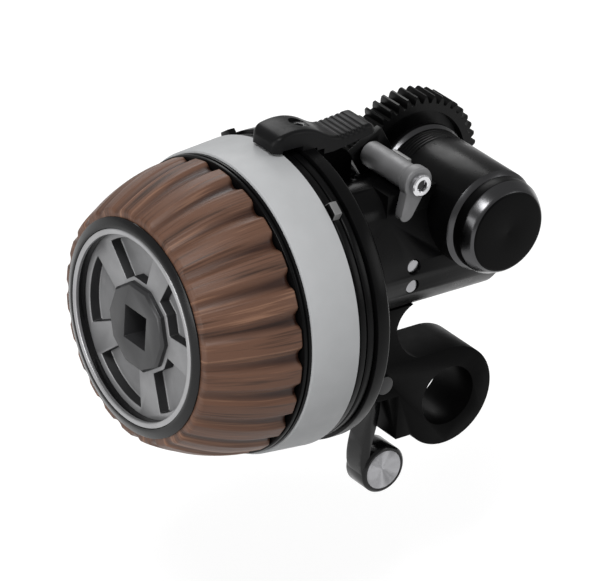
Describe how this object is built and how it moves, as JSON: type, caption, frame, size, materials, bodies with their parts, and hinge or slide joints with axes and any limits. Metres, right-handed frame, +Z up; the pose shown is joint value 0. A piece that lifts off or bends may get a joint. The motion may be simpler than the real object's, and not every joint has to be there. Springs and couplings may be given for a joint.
{
  "type": "follow focus unit",
  "caption": "Handwheel with a fluted wooden grip that drives a lens gear through a right-angle gearbox, with hard stops, an index pointer, a drag lever and a cam rod clamp.",
  "frame": {"origin": "centre of the rod clamp's bore", "axes": "+Y along the rod towards the lens, +Z up, handwheel facing -X"},
  "size_m": [0.1063, 0.072, 0.1024],
  "materials": {
    "walnut": "oiled, fluted",
    "band_white": "matte, writable",
    "black_anodised": "satin black anodised",
    "gunmetal": "bead blasted",
    "gear_black": "moulded, satin",
    "polished": "polished",
    "steel": "ground",
    "bronze": "sintered bronze and turned brass",
    "screw_black": "black oxide"
  },
  "bodies": {
    "frame": {"back_cover": "black_anodised", "cover_screws": "screw_black", "ring_retainer": "black_anodised", "gear_housing": "black_anodised", "side_screws": "polished", "wheel_bearing_front": "steel", "wheel_bearing_inner": "steel", "lay_bushes": "bronze", "drive_bearings": "steel", "front_collar": "black_anodised", "end_cap": "black_anodised", "lever_screw": "polished", "lever_bracket": "black_anodised", "clamp_body": "black_anodised", "arm_screws": "screw_black", "cam_pin": "polished"},
    "handwheel": {"wooden_grip": "walnut", "front_bezel": "black_anodised", "bezel_trim": "polished", "spoke_face": "gunmetal", "drive_socket": "gunmetal", "socket_magnet": "steel", "wheel_tube": "black_anodised", "wheel_core": "black_anodised", "rim_ring": "black_anodised", "marking_band": "band_white", "stop_dog": "black_anodised", "grip_screws": "screw_black", "wheel_shaft": "steel", "wheel_pinion": "steel", "shaft_clip": "steel"},
    "lay_train": {"lay_shaft": "steel", "lay_gear": "steel", "lay_bevel": "steel"},
    "drive_train": {"drive_bevel": "steel", "drive_shaft": "steel", "drive_gear": "gear_black", "gear_washer": "polished", "gear_screw": "screw_black"},
    "near_stop": {"stop_ring_a": "black_anodised"},
    "far_stop": {"stop_ring_b": "black_anodised"},
    "index_pointer": {"pointer_ring": "black_anodised", "pointer": "black_anodised", "pointer_screw": "screw_black"},
    "drag": {"drag_lever": "gunmetal"},
    "cam": {"cam_lever": "black_anodised", "lever_disc": "polished"},
    "shoe": {"clamp_shoe": "bronze"}
  },
  "joints": [
    {"name": "wheel_spin", "type": "hinge", "parent": "frame", "child": "handwheel", "pos_m": [-0.05, 0, 0.038], "axis": [1, 0, 0], "range_deg": [-165, 95]},
    {"name": "lay_spin", "type": "hinge", "parent": "frame", "child": "lay_train", "pos_m": [-0.02, 0, 0.05], "axis": [1, 0, 0], "range_deg": [-95, 165]},
    {"name": "drive_spin", "type": "hinge", "parent": "frame", "child": "drive_train", "pos_m": [0, 0.0159, 0.05], "axis": [0, 1, 0], "range_deg": [-95, 165]},
    {"name": "near_stop_turn", "type": "hinge", "parent": "frame", "child": "near_stop", "pos_m": [-0.0493, 0, 0.038], "axis": [1, 0, 0], "range_deg": [-20, 40]},
    {"name": "far_stop_turn", "type": "hinge", "parent": "frame", "child": "far_stop", "pos_m": [-0.0472, 0, 0.038], "axis": [1, 0, 0], "range_deg": [-40, 20]},
    {"name": "pointer_turn", "type": "hinge", "parent": "frame", "child": "index_pointer", "pos_m": [-0.0441, 0, 0.038], "axis": [1, 0, 0], "range_deg": [-20, 20]},
    {"name": "drag_turn", "type": "hinge", "parent": "frame", "child": "drag", "pos_m": [-0.0183, 0, 0.062], "axis": [0, 1, 0], "range_deg": [0, 70]},
    {"name": "cam_turn", "type": "hinge", "parent": "frame", "child": "cam", "pos_m": [-0.0197, 0, 0.0084], "axis": [0, 1, 0], "range_deg": [0, 60]},
    {"name": "shoe_slide", "type": "slide", "parent": "frame", "child": "shoe", "axis": [0.9199, 0, -0.3922], "range_m": [-0.0006, 0]}
  ],
  "couplings": [
    {"joint": "lay_spin", "follows": "wheel_spin", "ratio": -1},
    {"joint": "drive_spin", "follows": "wheel_spin", "ratio": -1},
    {"joint": "shoe_slide", "follows": "cam_turn", "m_per_rad": -0.00057296}
  ]
}
